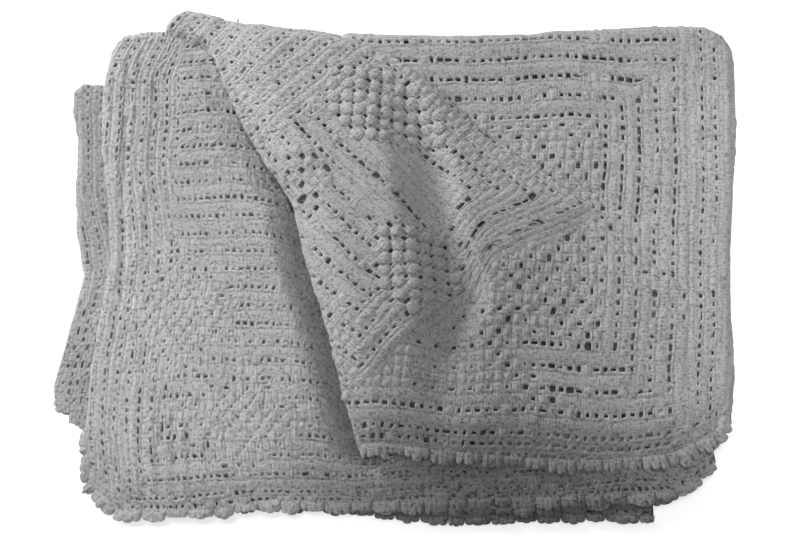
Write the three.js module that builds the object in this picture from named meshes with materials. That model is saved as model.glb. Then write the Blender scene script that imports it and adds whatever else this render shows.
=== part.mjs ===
// A crochet baby blanket, folded in thirds and then in half, with its top flap pushed back into a pleat.
// Millimetres, +Z up. The blanket lies on the plane z = 0, its scalloped hems towards -Y and its
// half-way fold towards +Y. It is one cloth, so it is one solid: a back-and-forth section of three
// runs (top, middle, inner) that goes over the half-way fold and returns underneath.
import * as THREE from "three";

// Driving dimensions
const CLOTH_THICKNESS = 2.4;
const LAYER_PITCH = 5; // from one layer to the next
const LEFT_SQUEEZE = 0.14; // share of the pitch that is lost where the left folds settle
const SQUEEZE_FROM = -130;
const SQUEEZE_TO = -215;
const LUMP_SHARE = 0.05; // how unevenly the layers lie, as a share of the pitch
const LUMP_ACROSS = 55;
const LUMP_DEEP = 62;
const TURN_RADIUS = 4.4; // of the flap's edge, where the cloth turns under itself
const BRINK_RUN = 6; // width of the step from the pleat's brink down to the flat cloth
const SCALLOP_DEPTH = 4.5;
const HEM_DROOP = 1.2;
const HEM_DROOP_SHARE = 0.08; // of the depth, from the hem
const INNER_END = 214; // where the innermost run stops, just short of the right fold
const TOP_LEFT_UNDER = -208; // left end of the top run after it has gone underneath

// How many steps each run of the section takes, in order from the free end of the top flap
const SECTION = [
  { run: "turn", steps: 5 },
  { run: "top", steps: 39 },
  { run: "rightFold", steps: 4 },
  { run: "middle", steps: 30 },
  { run: "leftFold", steps: 4 },
  { run: "inner", steps: 11 },
];
const UPPER_STEPS = 17;
const BACK_FOLD_STEPS = 6;
const UNDER_PLACES = [1, 0.94, 0.88, 0.62, 0.35, 0.12, 0];
const FIRST_STEP_SHARE = 0.03; // the hem's own row

// Steps of the top run between the lines of its pleat, which they follow except close to the hem
const PLEAT_STEPS = { shoulder: 7, valley: 8, crest: 3, brink: 4, foot: 2, right: 15 };
const UNIFORM_UP_TO = 0.02;
const FOLLOWED_FROM = 0.34;

// Height of each run, counted in layers from the table
const UPPER_LAYER = { top: 5, middle: 4, inner: 3 };
const UNDER_LAYER = { top: 0, middle: 1, inner: 2 };
const MID_LAYER = 2.5;

// Side edges, a row for each place along the depth (0 at the hem, 1 at the half-way fold)
const SIDES = [
  { along: 0.0, right: 230, left: -203, rightUnder: 224, leftUnder: -236 },
  { along: 0.12, right: 235, left: -209, rightUnder: 230, leftUnder: -231 },
  { along: 0.35, right: 237, left: -213, rightUnder: 234, leftUnder: -223 },
  { along: 0.62, right: 240, left: -214, rightUnder: 237, leftUnder: -228 },
  { along: 0.88, right: 241, left: -212, rightUnder: 239, leftUnder: -234 },
  { along: 0.94, right: 241, left: -210, rightUnder: 240, leftUnder: -225 },
  { along: 1.0, right: 239, left: -206, rightUnder: 239, leftUnder: -206 },
];

// Front hems, a row for each place across, and a column for each layer
const HEMS = [
  { x: -240, top: -145, middle: -168, inner: -150, innerUnder: -96, middleUnder: -92, topUnder: -98 },
  { x: -215, top: -145, middle: -168, inner: -166, innerUnder: -124, middleUnder: -120, topUnder: -136 },
  { x: -190, top: -145, middle: -181, inner: -172, innerUnder: -160, middleUnder: -158, topUnder: -166 },
  { x: -140, top: -145, middle: -180, inner: -174, innerUnder: -172, middleUnder: -176, topUnder: -178 },
  { x: -32, top: -143, middle: -179, inner: -172, innerUnder: -176, middleUnder: -181, topUnder: -180 },
  { x: 60, top: -149, middle: -174, inner: -170, innerUnder: -176, middleUnder: -181, topUnder: -184 },
  { x: 130, top: -153, middle: -172, inner: -168, innerUnder: -173, middleUnder: -178, topUnder: -182 },
  { x: 185, top: -149, middle: -168, inner: -164, innerUnder: -166, middleUnder: -172, topUnder: -180 },
  { x: 215, top: -138, middle: -152, inner: -150, innerUnder: -150, middleUnder: -148, topUnder: -154 },
  { x: 240, top: -122, middle: -130, inner: -130, innerUnder: -130, middleUnder: -126, topUnder: -130 },
];

// The half-way fold, a row for each place across
const BACK = [
  { x: -240, y: 152 },
  { x: -222, y: 163 },
  { x: -206, y: 174 },
  { x: -180, y: 181 },
  { x: -130, y: 182 },
  { x: -60, y: 177 },
  { x: 0, y: 173 },
  { x: 120, y: 173 },
  { x: 215, y: 176 },
  { x: 246, y: 168 },
];

// The pleat in the top run, a row for each place along the depth. Each pair is a place across and
// its height over the flat cloth: the flap's turned edge, its shoulder, the valley, the crest and
// the brink where the pleat ends on the flat cloth. tuck is how far the edge goes on underneath,
// and turn how far round it goes, in degrees.
const PLEAT = [
  pleatRow(0.0, [-31, 9.5], [-22, 9], [-10, 3.5], [0, 1.8], [10, 0.6], 4, 150),
  pleatRow(0.16, [-46, 10], [-20, 9.5], [8, 3], [22, 2.6], [36, 1], 12, 180),
  pleatRow(0.28, [-58, 10], [-15, 10], [38, 3.5], [52, 4.5], [66, 1.6], 22, 180),
  pleatRow(0.39, [-69, 10], [-10, 11], [61, 3], [74, 10], [90, 4], 24, 180),
  pleatRow(0.5, [-81, 10.5], [-20, 12], [50, 1.6], [74, 20], [112, 7.5], 24, 180),
  pleatRow(0.6, [-93, 11], [-30, 12.5], [39, 1.2], [62, 22], [137, 6.5], 24, 180),
  pleatRow(0.7, [-106, 12], [-40, 12.5], [29, 2], [50, 19.5], [103, 7.5], 24, 180),
  pleatRow(0.8, [-117, 13], [-55, 12], [18, 5], [36, 15], [63, 7], 22, 175),
  pleatRow(0.905, [-129, 16], [-70, 13], [2, 8], [15, 11], [30, 6], 10, 140),
  pleatRow(1.0, [-138, 21], [-92, 15], [-24, 11], [-10, 10], [2, 5], 4, 70),
];

function pleatRow(along, edge, shoulder, valley, crest, brink, tuck, turn) {
  return {
    along,
    edge: edge[0],
    edgeLift: edge[1],
    shoulder: shoulder[0],
    shoulderLift: shoulder[1],
    valley: valley[0],
    valleyLift: valley[1],
    crest: crest[0],
    crestLift: crest[1],
    brink: brink[0],
    brinkLift: brink[1],
    tuck,
    turn,
  };
}

const mix = (a, b, share) => a + (b - a) * share;

function smoothstep(from, to, value) {
  const t = Math.min(1, Math.max(0, (value - from) / (to - from)));
  return t * t * (3 - 2 * t);
}

// A smooth line through points [at, value] that never swings past them (monotone cubic).
function smoothLine(points, at) {
  const last = points.length - 1;
  if (at <= points[0][0]) return points[0][1];
  if (at >= points[last][0]) return points[last][1];
  const i = points.findIndex((p, n) => n < last && at < points[n + 1][0]);
  const slope = (n) => (points[n + 1][1] - points[n][1]) / (points[n + 1][0] - points[n][0]);
  const tangent = (n) => {
    if (n === 0) return slope(0);
    if (n === last) return slope(last - 1);
    const [before, after] = [slope(n - 1), slope(n)];
    return before * after <= 0 ? 0 : (2 * before * after) / (before + after);
  };
  const width = points[i + 1][0] - points[i][0];
  const t = (at - points[i][0]) / width;
  const [t2, t3] = [t * t, t * t * t];
  return (
    points[i][1] * (2 * t3 - 3 * t2 + 1) +
    tangent(i) * width * (t3 - 2 * t2 + t) +
    points[i + 1][1] * (3 * t2 - 2 * t3) +
    tangent(i + 1) * width * (t3 - t2)
  );
}

const column = (rows, key, name, at) => smoothLine(rows.map((row) => [row[key], row[name]]), at);
const side = (name, along) => column(SIDES, "along", name, along);
const pleat = (name, along) => column(PLEAT, "along", name, along);

function layerPitch(x, y) {
  const lump = Math.sin(x / LUMP_ACROSS + 0.4) * Math.cos(y / LUMP_DEEP);
  const squeeze = LEFT_SQUEEZE * smoothstep(SQUEEZE_FROM, SQUEEZE_TO, x);
  return LAYER_PITCH * (1 - squeeze + LUMP_SHARE * lump);
}

const layerHeight = (layer, x, y) => CLOTH_THICKNESS / 2 + layer * layerPitch(x, y);

// Height of the pleated top run over the flat cloth.
function pleatLift(along, x) {
  const names = ["edge", "shoulder", "valley", "crest", "brink"];
  const points = names.map((name) => [pleat(name, along), pleat(name + "Lift", along)]);
  points.push([pleat("brink", along) + BRINK_RUN, 0]);
  return smoothLine(points, x);
}

// Across the top run, so that its lines of points run along the pleat.
function acrossTop(share, along) {
  const [edge, right] = [pleat("edge", along), side("right", along)];
  const places = { foot: pleat("brink", along) + BRINK_RUN, right };
  const total = Object.values(PLEAT_STEPS).reduce((sum, steps) => sum + steps, 0);
  let [from, done] = [edge, 0];
  let followed = right;
  for (const [name, steps] of Object.entries(PLEAT_STEPS)) {
    const to = places[name] ?? pleat(name, along);
    const step = share * total - done;
    if (step <= steps) {
      followed = mix(from, to, step / steps);
      break;
    }
    [from, done] = [to, done + steps];
  }
  return mix(mix(edge, right, share), followed, smoothstep(UNIFORM_UP_TO, FOLLOWED_FROM, along));
}

// Where a station of the section lies across, before its depth is known.
function acrossUpper(station, along) {
  const { run, share } = station;
  if (run === "turn") return pleat("edge", along);
  if (run === "top") return acrossTop(share, along);
  if (run === "rightFold") return side("right", along);
  if (run === "middle") return mix(side("right", along), side("left", along), share);
  if (run === "leftFold") return side("left", along);
  return mix(side("left", along), INNER_END, share);
}

function acrossUnder(station, along) {
  const { run, share } = station;
  if (run === "turn") return TOP_LEFT_UNDER;
  if (run === "top") return mix(TOP_LEFT_UNDER, side("rightUnder", along), share);
  if (run === "rightFold") return side("rightUnder", along);
  if (run === "middle") return mix(side("rightUnder", along), side("leftUnder", along), share);
  if (run === "leftFold") return side("leftUnder", along);
  return mix(side("leftUnder", along), INNER_END, share);
}

const RUN_OF = { turn: "top", rightFold: "middle", leftFold: "middle" };
const runOf = (station) => RUN_OF[station.run] ?? station.run;

function hemLine(station, half) {
  const under = half === "under";
  const x = under ? acrossUnder(station, 0) : acrossUpper(station, 0);
  const scallop = SCALLOP_DEPTH * (0.8 + 0.2 * Math.sin(1.7 * station.index)) * (station.index % 2);
  return column(HEMS, "x", runOf(station) + (under ? "Under" : ""), x) - scallop;
}

function backLine(station, half) {
  const x = half === "under" ? acrossUnder(station, 1) : acrossUpper(station, 1);
  return column(BACK, "x", "y", x);
}

// Bends the fold between two layers: from the first layer (share 0) round to the second (share 1).
function foldPoint(x, y, direction, layers, share) {
  const [from, to] = layers.map((layer) => layerHeight(layer, x, y));
  const angle = Math.PI * share;
  const radius = Math.abs(from - to) / 2;
  return {
    x: x + direction * radius * Math.sin(angle),
    y,
    z: (from + to) / 2 + ((from - to) / 2) * Math.cos(angle),
  };
}

// The flap's edge rolls over and under: share 0 is the free end of the cloth and 1 the edge itself.
function turnPoint(y, along, share) {
  const angle = THREE.MathUtils.degToRad(pleat("turn", along));
  const roll = Math.PI * TURN_RADIUS;
  const run = (1 - share) * (roll + pleat("tuck", along));
  const radius = roll / angle;
  const bend = Math.min(run / radius, angle);
  const onward = Math.max(0, run - roll);
  const x = pleat("edge", along);
  const z = layerHeight(UPPER_LAYER.top, x, y) + pleat("edgeLift", along);
  return {
    x: x - radius * Math.sin(bend) - onward * Math.cos(angle),
    y,
    z: z - radius * (1 - Math.cos(bend)) - onward * Math.sin(angle),
  };
}

function upperPoint(station, along) {
  const { run, share } = station;
  const x = acrossUpper(station, along);
  const y = mix(hemLine(station, "upper"), backLine(station, "upper"), along);
  if (run === "turn") return turnPoint(y, along, share);
  if (run === "rightFold") return foldPoint(x, y, 1, [UPPER_LAYER.top, UPPER_LAYER.middle], share);
  if (run === "leftFold") return foldPoint(x, y, -1, [UPPER_LAYER.middle, UPPER_LAYER.inner], share);
  const droop = run === "top" ? HEM_DROOP * (1 - smoothstep(0, HEM_DROOP_SHARE, along)) : 0;
  const lift = run === "top" ? pleatLift(along, x) : 0;
  return { x, y, z: layerHeight(UPPER_LAYER[run], x, y) + lift - droop };
}

function underPoint(station, along) {
  const { run, share } = station;
  const x = acrossUnder(station, along);
  const y = mix(hemLine(station, "under"), backLine(station, "under"), along);
  if (run === "turn") {
    const run = (1 - share) * (Math.PI * TURN_RADIUS + pleat("tuck", 1));
    return { x: x - run, y, z: layerHeight(UNDER_LAYER.top, x, y) };
  }
  if (run === "rightFold") return foldPoint(x, y, 1, [UNDER_LAYER.top, UNDER_LAYER.middle], share);
  if (run === "leftFold") return foldPoint(x, y, -1, [UNDER_LAYER.middle, UNDER_LAYER.inner], share);
  return { x, y, z: layerHeight(UNDER_LAYER[run], x, y) };
}

// The half-way fold carries a station from the upper layers to the ones underneath.
function backFoldPoint(station, share) {
  const [above, below] = [upperPoint(station, 1), underPoint(station, 1)];
  const middle = (layerHeight(MID_LAYER, above.x, above.y) + layerHeight(MID_LAYER, below.x, below.y)) / 2;
  const [rise, fall] = [above.z - middle, middle - below.z];
  const angle = Math.PI * share;
  const across = (1 - Math.cos(angle)) / 2;
  return {
    x: mix(above.x, below.x, across),
    y: mix(above.y, below.y, across) + ((rise + fall) / 2) * Math.sin(angle),
    z: middle + (angle < Math.PI / 2 ? rise : fall) * Math.cos(angle),
  };
}

function sectionStations() {
  const stations = SECTION.flatMap(({ run, steps }) =>
    Array.from({ length: steps }, (_, n) => ({ run, share: n / steps })),
  );
  stations.push({ run: "inner", share: 1 });
  return stations.map((station, index) => ({ ...station, index }));
}

// One line of points down the cloth: hem, upper layer, half-way fold, under layer, hem.
function clothLine(station) {
  const line = [upperPoint(station, 0)];
  for (let n = 0; n <= UPPER_STEPS; n++) {
    line.push(upperPoint(station, mix(FIRST_STEP_SHARE, 1, n / UPPER_STEPS)));
  }
  for (let n = 1; n < BACK_FOLD_STEPS; n++) line.push(backFoldPoint(station, n / BACK_FOLD_STEPS));
  for (const along of UNDER_PLACES) line.push(underPoint(station, along));
  return line.map(({ x, y, z }) => new THREE.Vector3(x, y, z));
}

// Gives a grid of points the thickness of the cloth: both faces and the rim between them.
function thickSheet(grid, thickness) {
  const [rows, columns] = [grid.length, grid[0].length];
  const clamp = (n, count) => Math.min(count - 1, Math.max(0, n));
  const at = (i, j) => grid[clamp(i, rows)][clamp(j, columns)];
  const positions = [];
  for (const face of [1, -1]) {
    for (let i = 0; i < rows; i++) {
      for (let j = 0; j < columns; j++) {
        const across = new THREE.Vector3().subVectors(at(i + 1, j), at(i - 1, j));
        const deep = new THREE.Vector3().subVectors(at(i, j + 1), at(i, j - 1));
        const normal = across.cross(deep).normalize();
        const point = at(i, j).clone().addScaledVector(normal, (face * thickness) / 2);
        positions.push(point.x, point.y, point.z);
      }
    }
  }
  const top = (i, j) => i * columns + j;
  const bottom = (i, j) => rows * columns + top(i, j);
  const triangles = [];
  const quad = (a, b, c, d) => triangles.push(a, b, c, a, c, d);
  for (let i = 0; i + 1 < rows; i++) {
    for (let j = 0; j + 1 < columns; j++) {
      quad(top(i, j), top(i + 1, j), top(i + 1, j + 1), top(i, j + 1));
      quad(bottom(i, j), bottom(i, j + 1), bottom(i + 1, j + 1), bottom(i + 1, j));
    }
    quad(bottom(i, 0), bottom(i + 1, 0), top(i + 1, 0), top(i, 0));
    quad(top(i, columns - 1), top(i + 1, columns - 1), bottom(i + 1, columns - 1), bottom(i, columns - 1));
  }
  for (let j = 0; j + 1 < columns; j++) {
    quad(top(0, j), top(0, j + 1), bottom(0, j + 1), bottom(0, j));
    quad(bottom(rows - 1, j), bottom(rows - 1, j + 1), top(rows - 1, j + 1), top(rows - 1, j));
  }
  const geometry = new THREE.BufferGeometry();
  geometry.setAttribute("position", new THREE.Float32BufferAttribute(positions, 3));
  geometry.setIndex(triangles);
  return geometry;
}

// The origin is the middle of the blanket's box, on the table.
function standOnOrigin(geometry) {
  geometry.computeBoundingBox();
  const { min, max } = geometry.boundingBox;
  return geometry.translate(-(min.x + max.x) / 2, -(min.y + max.y) / 2, -min.z);
}

const cotton = new THREE.MeshStandardMaterial({ color: 0xa9a9a9, roughness: 0.95, metalness: 0 });
const cloth = thickSheet(sectionStations().map(clothLine), CLOTH_THICKNESS);
const blanket = new THREE.Mesh(standOnOrigin(cloth), cotton);
blanket.name = "blanket";

const part = new THREE.Group();
part.name = "crochet_baby_blanket";
part.add(blanket);

export default part;
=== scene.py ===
"""Looks of a folded crochet baby blanket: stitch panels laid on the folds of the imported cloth."""

import math

import bpy
import numpy as np
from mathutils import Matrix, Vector


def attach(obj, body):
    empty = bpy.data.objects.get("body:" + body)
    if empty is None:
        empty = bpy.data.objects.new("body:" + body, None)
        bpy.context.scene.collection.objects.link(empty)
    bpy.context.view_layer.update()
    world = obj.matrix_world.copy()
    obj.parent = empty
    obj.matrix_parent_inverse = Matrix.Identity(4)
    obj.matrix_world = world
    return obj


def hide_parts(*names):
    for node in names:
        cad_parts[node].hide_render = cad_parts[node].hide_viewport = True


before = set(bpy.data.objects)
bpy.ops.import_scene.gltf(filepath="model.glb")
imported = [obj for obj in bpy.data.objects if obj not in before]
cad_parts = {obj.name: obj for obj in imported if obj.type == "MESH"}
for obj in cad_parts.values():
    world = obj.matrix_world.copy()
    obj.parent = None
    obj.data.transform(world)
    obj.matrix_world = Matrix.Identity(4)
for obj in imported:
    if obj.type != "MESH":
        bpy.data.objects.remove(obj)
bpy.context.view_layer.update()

# The cloth's form as it lies on its solid, in millimetres: x across, y from the hems to the back
MIDDLE = (2.72, 8.58)  # of the folded blanket's box
CLOTH = 2.4
LAYER_PITCH = 5.0
LEFT_SQUEEZE, FRONT_SQUEEZE, HEM_FALL = 0.14, 0.2, 0.42  # shares of the height that the cloth loses there
SQUEEZE_FROM, SQUEEZE_TO = -130, -215
LUMP_SHARE, LUMP_ACROSS, LUMP_DEEP = 0.05, 55, 62
SHELL_ROOM = 6  # from a hem to the root of its edging
CREVICE_DEPTH, CREVICE_PER_LAYER = 18.5, 4.6  # of the top layer beside the flap, and of each one within


def table(names, *rows):
    """A short table with named columns."""
    return {name: np.array(column, float) for name, column in zip(names.split(), zip(*rows))}


# The side folds of the upper and the lower half, from the hems (0) to the back (1)
SIDES = table(
    "along right left right_under left_under",
    (0.0, 230, -203, 224, -236),
    (0.12, 235, -209, 230, -231),
    (0.35, 237, -213, 234, -223),
    (0.62, 240, -214, 237, -228),
    (0.88, 241, -212, 239, -234),
    (0.94, 241, -210, 240, -225),
    (1.0, 239, -206, 239, -206),
)
# Each layer's hem, from the top one down
HEMS = table(
    "x top middle inner inner_under middle_under top_under",
    (-240, -145, -168, -150, -96, -92, -98),
    (-215, -145, -170, -166, -124, -120, -136),
    (-190, -145, -186, -172, -170, -174, -175),
    (-140, -145, -187, -174, -178, -181, -179),
    (-80, -144, -180, -173, -176, -180, -179),
    (-32, -143, -179, -172, -176, -181, -181),
    (60, -149, -175, -170, -176, -182, -188),
    (130, -153, -173, -168, -173, -179, -185),
    (185, -149, -171, -164, -166, -173, -187),
    (215, -138, -155, -150, -150, -150, -156),
    (240, -122, -136, -130, -130, -126, -130),
)
# The fold at the back
BACK = table(
    "x y",
    (-240, 152),
    (-222, 163),
    (-206, 174),
    (-180, 181),
    (-130, 182),
    (-60, 177),
    (0, 173),
    (120, 173),
    (215, 176),
    (246, 168),
)
# The pleat of the top flap: places across and their height over the flat cloth
PLEAT = table(
    "along edge shoulder lip valley crest brink edge_up shoulder_up lip_up valley_up crest_up brink_up",
    (0.0, -22, -8, 8, 28, 48, 70, 2, 3.5, 3.5, 2.5, 2, 1),
    (0.16, -36.5, -18, 4, 34, 58, 85, 4.5, 9.5, 8.5, 2, 3, 1),
    (0.28, -46, -25, 3, 40, 60, 90, 6, 13.5, 12.5, -1.5, 3, 0.8),
    (0.39, -56.5, -33, 7, 49, 68, 112, 6.5, 15, 14.5, -4.5, 4, 0.4),
    (0.5, -66, -42, 0, 41, 60, 125, 7, 16, 15.5, -5.5, 5.5, 0.3),
    (0.6, -72.5, -48, -9, 32, 51, 137, 7, 16, 15.5, -5.5, 7, 0.3),
    (0.7, -92, -63, -13, 27, 44, 105, 6, 15.5, 15, -3.5, 7.5, 0.4),
    (0.8, -108, -78, -24, 17, 33, 65, 4, 14, 14, 1, 7.5, 0.8),
    (0.905, -123, -92, -36, 2, 15, 32, 2, 12.5, 12.5, 6, 8, 2),
    (1.0, -133, -102, -54, -24, -10, 4, 1, 10.5, 11, 10, 9.5, 4),
)
PLEAT_LINES = ("edge", "shoulder", "lip", "valley", "crest", "brink")


def smoothstep(low, high, value):
    """Eases from 0 to 1 as a value goes from low to high."""
    t = np.clip((value - low) / (high - low), 0, 1)
    return t * t * (3 - 2 * t)


def smooth_line(at, places, values):
    """A smooth line through values at places that never swings past them (monotone cubic)."""
    at = np.asarray(at, float)
    count = np.shape(places)[-1]
    places = np.broadcast_to(places, at.shape + (count,))
    values = np.broadcast_to(values, at.shape + (count,))
    width = np.diff(places)
    slope = np.diff(values) / width
    before, after = slope[..., :-1], slope[..., 1:]
    total = np.where(before * after > 0, before + after, 1)
    inner = np.where(before * after > 0, 2 * before * after / total, 0)
    tangent = np.concatenate([slope[..., :1], inner, slope[..., -1:]], -1)
    index = np.clip((at[..., None] >= places).sum(-1) - 1, 0, count - 2)[..., None]

    def pick(array, step=0):
        return np.take_along_axis(array, index + step, -1)[..., 0]

    t = np.clip((at - pick(places)) / pick(width), 0, 1)
    t2, t3 = t * t, t * t * t
    return (
        pick(values) * (2 * t3 - 3 * t2 + 1)
        + pick(tangent) * pick(width) * (t3 - 2 * t2 + t)
        + pick(values, 1) * (3 * t2 - 2 * t3)
        + pick(tangent, 1) * pick(width) * (t3 - t2)
    )


def hem(name, x):
    return smooth_line(x, HEMS["x"], HEMS[name])


def back(x):
    return smooth_line(x, BACK["x"], BACK["y"])


def layer_height(layer, x, y):
    """How high a layer's cloth lies, counted from the lowest; the stack is lower at its left and its front."""
    lump = np.sin(x / LUMP_ACROSS + 0.4) * np.cos(y / LUMP_DEEP)
    squeeze = LEFT_SQUEEZE * smoothstep(SQUEEZE_FROM, SQUEEZE_TO, x)
    squeeze = squeeze + FRONT_SQUEEZE * smoothstep(-80, 0, x) * smoothstep(10, -160, y)
    squeeze = squeeze + HEM_FALL * smoothstep(-95, -25, x) * smoothstep(-108, -176, y)
    return CLOTH / 2 + layer * LAYER_PITCH * (1 - squeeze + LUMP_SHARE * lump)


def pleat_lift(x, y, foot=None):
    """How far the flap's pleat stands over the flat cloth; with a foot it comes down again past its brink."""
    front = hem("top", x)
    along = np.clip((y - front) / (back(x) - front), 0, 1)
    places = [smooth_line(along, PLEAT["along"], PLEAT[name]) for name in PLEAT_LINES]
    heights = [smooth_line(along, PLEAT["along"], PLEAT[name + "_up"]) for name in PLEAT_LINES]
    if foot:
        places.append(places[-1] + foot)
        heights.append(np.zeros_like(along))
    return smooth_line(x, np.stack(places, -1), np.stack(heights, -1))


# The fold along which the flap's left edge is turned under
FLAP_EDGE = table(
    "y x",
    (-160, -17),
    (-130.5, -25.5),
    (-87, -37.5),
    (-49, -47),
    (-1.5, -61),
    (21.5, -66.5),
    (50, -73),
    (69, -84.5),
    (85, -95),
    (105, -106),
    (122, -114),
    (148, -126),
    (170, -133.5),
    (183, -139),
)


def flap_edge(y):
    return smooth_line(y, FLAP_EDGE["y"], FLAP_EDGE["x"])


def crevice(x, y):
    """Where the cloth below sinks beside the flap's left edge, most of all near its tip."""
    beside = flap_edge(y) - x
    deep = smoothstep(-158, -128, y) * (1 - 0.85 * smoothstep(10, 130, y))
    return deep * smoothstep(27, -6, beside) * smoothstep(4, -22, x)


def gap_to(x, y, start_x, start_y, end_x, end_y):
    """How far points lie from a straight stretch."""
    dx, dy = end_x - start_x, end_y - start_y
    t = np.clip(((x - start_x) * dx + (y - start_y) * dy) / (dx * dx + dy * dy), 0, 1)
    return np.hypot(x - start_x - t * dx, y - start_y - t * dy)


# Where the flap's slanting rows give way to the flat panel's: up from its tip, round the pleat's end
SEAM = table("x y", (-34, -96), (45, -30), (62, -22), (68, 3), (103, 22), (139, 43))


def seam_gap(x, y):
    """How far points lie from that line, below zero on the flat panel's side."""
    ends = zip(SEAM["x"], SEAM["y"], SEAM["x"][1:], SEAM["y"][1:])
    far = np.min([gap_to(x, y, *stretch) for stretch in ends], 0)
    return np.where(y > np.interp(x, SEAM["x"], SEAM["y"]), far, -far)


def soft_ridges(x, y, creases):
    """Creases as soft ridges, or as troughs where their height is below zero."""
    return sum(up * np.exp(-((gap_to(x, y, *stretch) / width) ** 2)) for *stretch, width, up in creases)


# Stitches, as shares of a cell of the lattice, with heights in millimetres
RIM_SHARE = 0.8
BAR_HEIGHT, LIP_HEIGHT, WALL_HEIGHT = 0.6, 0.1, -1.5
SEAM_HEIGHT = 0.1
ROW_HEIGHT = 0.95
PAD_HEIGHT = 1.35
POPCORN_RINGS = ((0.74, -0.3), (0.7, 0.8), (0.58, 1.8), (0.38, 2.5), (0.18, 2.8))
POPCORN_SIDES = 12
BLOCK, EYELET, PAD, POPCORN = range(4)


def border_of_cell(steps):
    """The points round a cell, anticlockwise from its first corner."""
    step = np.arange(steps) / steps
    zero, one = np.zeros(steps), np.ones(steps)
    sides = ((step, zero), (one, step), (1 - step, one), (zero, 1 - step))
    return np.concatenate([np.stack(side, 1) for side in sides])


def ring_quads(rings, sides):
    """Faces between rings of points, counted from the outermost."""
    k = np.arange(sides)
    turn = (k + 1) % sides
    ring = np.stack([k, turn, turn + sides, k + sides], 1)
    return np.concatenate([ring + n * sides for n in range(rings - 1)])


def eyelet_cells(steps, half):
    """Open cells: bars round a hole with a wall. half is each hole's own half width and length."""
    arm = border_of_cell(steps) - 0.5
    rounded = arm / (np.abs(arm) ** 4).sum(1, keepdims=True) ** 0.25
    hole = rounded[None] * half[:, None]
    rim = np.maximum(RIM_SHARE * 0.5, (half.max(1)[:, None, None] + 0.5) / 2)
    square = arm / np.abs(arm).max(1, keepdims=True)
    rings = [np.broadcast_to(arm, hole.shape), square[None] * rim * 0.98, hole, hole * 0.88]
    points = np.concatenate(rings, 1) + 0.5
    height = np.repeat([SEAM_HEIGHT, BAR_HEIGHT, LIP_HEIGHT, WALL_HEIGHT], len(arm))
    return points, np.broadcast_to(height, points.shape[:2]), ring_quads(4, len(arm))


def solid_cells(steps, crest, turned, groove, phase):
    """Solid cells: a rounded length of a row with grooves between its posts, or a smooth rounded pad.

    crest, groove and phase are each cell's own; no groove at all makes a pad, and the phase shifts the posts.
    """
    line = np.arange(steps + 1) / steps
    u, v = (a.ravel() for a in np.meshgrid(line, line, indexing="ij"))
    u, v = np.where(turned[:, None], v, u), np.where(turned[:, None], u, v)
    swell_u, swell_v = 1 - (2 * u - 1) ** 2, 1 - (2 * v - 1) ** 2
    between = np.abs(np.cos((u * steps + phase[:, None]) * math.pi / 2))
    swell = np.where(groove[:, None] > 0, swell_v, np.sqrt(swell_u * swell_v))
    height = SEAM_HEIGHT + (crest[:, None] - SEAM_HEIGHT - groove[:, None] * between) * swell
    grid = np.stack(np.meshgrid(line, line, indexing="ij"), -1).reshape(-1, 2)
    across = steps + 1
    corner = (np.arange(steps)[:, None] * across + np.arange(steps)).ravel()
    quads = np.stack([corner, corner + across, corner + across + 1, corner + 1], 1)
    return np.broadcast_to(grid, (len(turned), *grid.shape)), height, quads


def popcorn_cells(count, rng):
    """Puffed clusters that stand on a cell and spread over its neighbours."""
    angle = np.arange(POPCORN_SIDES) / POPCORN_SIDES * 2 * np.pi
    circle = np.stack([np.cos(angle), np.sin(angle)], 1)
    reaches, ups = np.array(POPCORN_RINGS).T
    size = rng.uniform(0.88, 1.08, (count, 1, 1))
    rings = [np.broadcast_to(circle * reach, (count, *circle.shape)) * size for reach in reaches]
    nudge = rng.normal(0, 0.06, (count, 1, 2))
    points = np.concatenate([*rings, np.zeros((count, 1, 2))], 1) + 0.5 + nudge
    up = np.append(np.repeat(ups, POPCORN_SIDES), ups[-1] + 0.1)
    height = up * rng.uniform(0.8, 1.12, (count, 1))
    last = (len(reaches) - 1) * POPCORN_SIDES
    k = np.arange(POPCORN_SIDES) + last
    cap = np.stack([k, np.roll(k, -1), np.full(POPCORN_SIDES, last + POPCORN_SIDES)], 1)
    return points, height, ring_quads(len(reaches), POPCORN_SIDES), cap


# Panels of stitches, laid on the cloth's form
ROLL_SHARE = 0.92  # of a half turn, that a rolled edge goes round
TORN = 4  # longest side of a face; where an outline turns inwards none is pulled longer
LEAST_ROOM = 0.3  # share of its height that a stitch keeps where the lattice is drawn together
SLOPE_STEP = 0.4  # to either side of a point, for the slope of the cloth there
JOINT_PARTS = 24  # of a cell's side: points of two cells on the same part are one


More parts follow.
